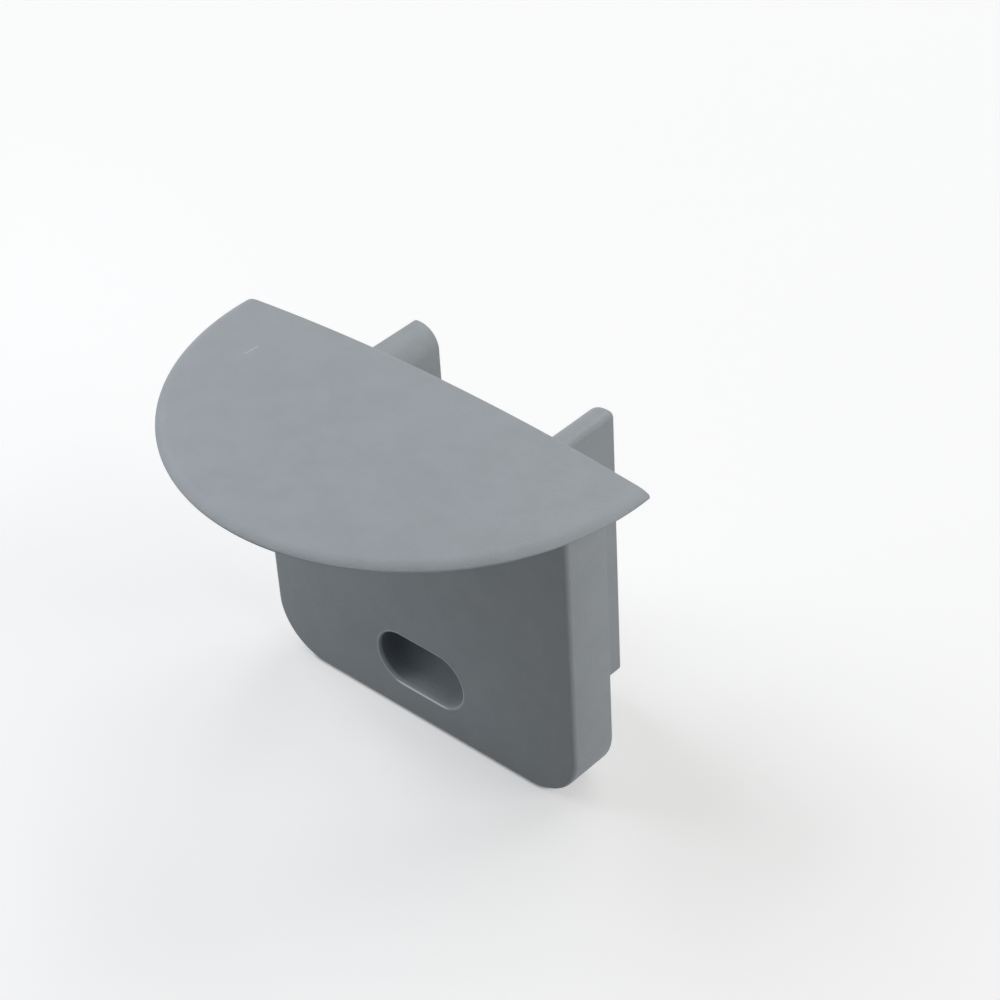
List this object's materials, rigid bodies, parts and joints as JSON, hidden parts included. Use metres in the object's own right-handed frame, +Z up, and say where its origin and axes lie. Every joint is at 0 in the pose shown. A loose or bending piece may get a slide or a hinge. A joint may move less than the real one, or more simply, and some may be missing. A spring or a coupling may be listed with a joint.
{
  "type": "profile end cap",
  "caption": "Grey moulded end cap for a recessed profile: domed half-round flange, end plate with a cable slot, and insertion legs behind.",
  "frame": {"origin": "on the seat plane that meets the end of the profile, at mid width, level with the underside of the flange", "axes": "+X across the cap, +Y into the profile, +Z up, away from the end plate and through the flange"},
  "size_m": [0.0248, 0.0178, 0.019],
  "materials": {
    "grey_plastic": "fine satin, as moulded"
  },
  "bodies": {
    "root": {"end_cap": "grey_plastic"}
  },
  "joints": []
}
